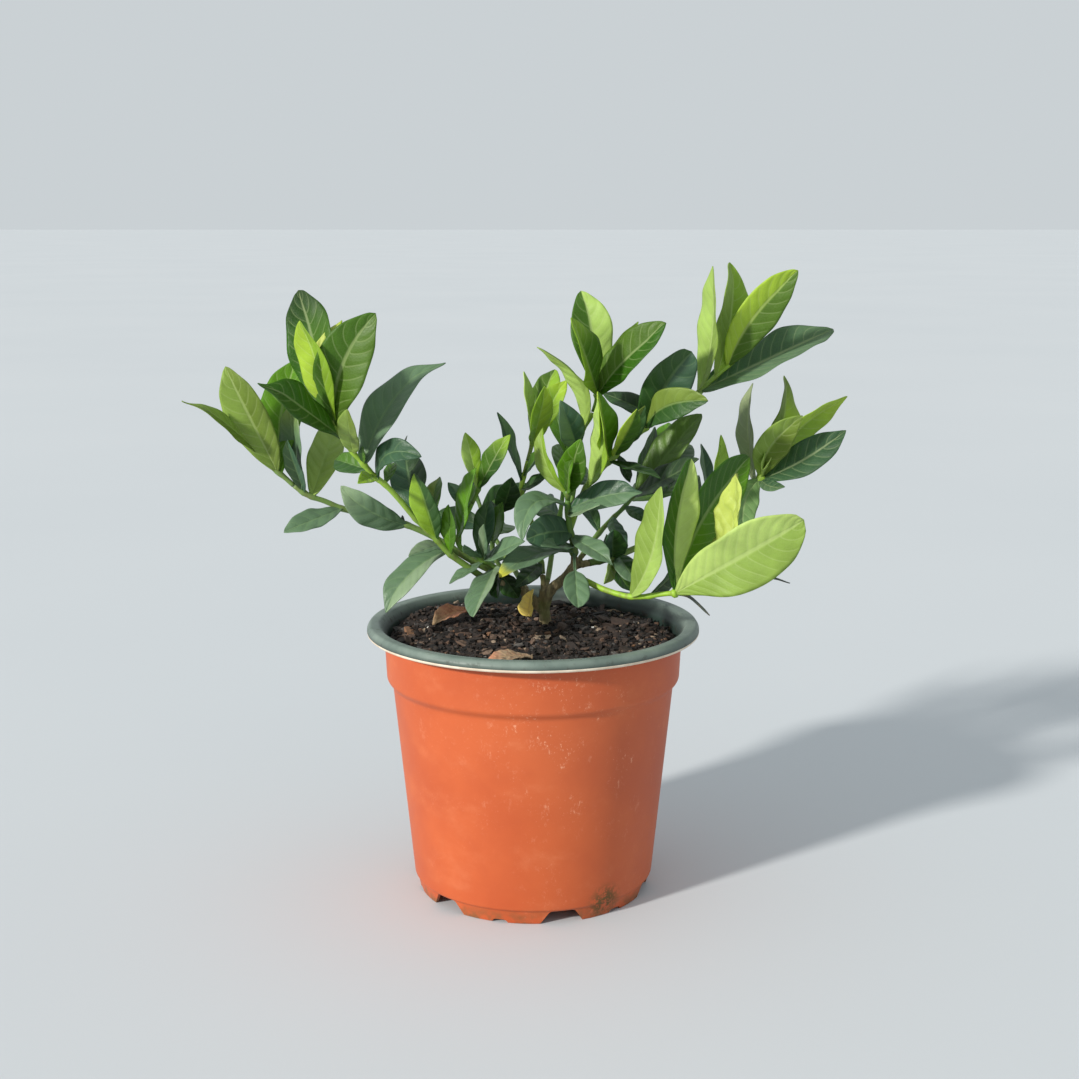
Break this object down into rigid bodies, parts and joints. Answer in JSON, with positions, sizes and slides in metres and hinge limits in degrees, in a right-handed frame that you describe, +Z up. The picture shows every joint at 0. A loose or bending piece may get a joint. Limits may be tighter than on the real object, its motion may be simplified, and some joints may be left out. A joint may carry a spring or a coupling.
{
  "type": "potted gardenia",
  "caption": "Young non-flowering gardenia with spreading leafy branches and pale new growth, in soil in a round tapered two-tone plastic nursery pot.",
  "frame": {"origin": "on the pot's axis, on the surface that the pot stands on, below the centre of the object's box", "axes": "+Z up along the pot's axis, +X to the right and +Y away from someone who faces the plant's front"},
  "size_m": [0.2971, 0.15, 0.2836],
  "materials": {
    "pot_plastic": "satin thermoformed plastic, terracotta outside, grey-green inside and on the rim, fine scuffs",
    "soil": "loose dark potting mix of composted bark flakes",
    "bark": "thin olive-brown bark with pale corky nodes",
    "mature_leaf": "leathery dark green leaf, satin gloss, sunken veins",
    "young_leaf": "thin lime-green young leaf, glossy, translucent, veined",
    "yellow_leaf": "dull yellow dying leaf",
    "dead_leaf": "dry brown curled leaf"
  },
  "bodies": {
    "root": {"pot": "pot_plastic", "potting_soil": "soil", "fallen_leaf_left": "dead_leaf", "fallen_leaf_front": "dead_leaf", "yellow_leaf": "yellow_leaf", "trunk": "bark", "west_low_branch": "mature_leaf", "west_high_branch": "mature_leaf", "mid_left_shoot": "mature_leaf", "small_left_shoot": "mature_leaf", "centre_left_shoot": "mature_leaf", "centre_branch": "mature_leaf", "centre_top_branch": "mature_leaf", "top_right_branch": "mature_leaf", "right_branch": "mature_leaf", "far_right_branch": "mature_leaf", "back_left_shoot": "mature_leaf", "back_centre_shoot": "mature_leaf", "back_right_shoot": "mature_leaf", "west_low_branch_new_growth": "young_leaf", "west_high_branch_new_growth": "young_leaf", "mid_left_shoot_new_growth": "young_leaf", "centre_left_shoot_new_growth": "young_leaf", "centre_branch_new_growth": "young_leaf", "centre_top_branch_new_growth": "young_leaf", "top_right_branch_new_growth": "young_leaf", "far_right_branch_new_growth": "young_leaf", "low_right_branch": "young_leaf"}
  },
  "joints": []
}
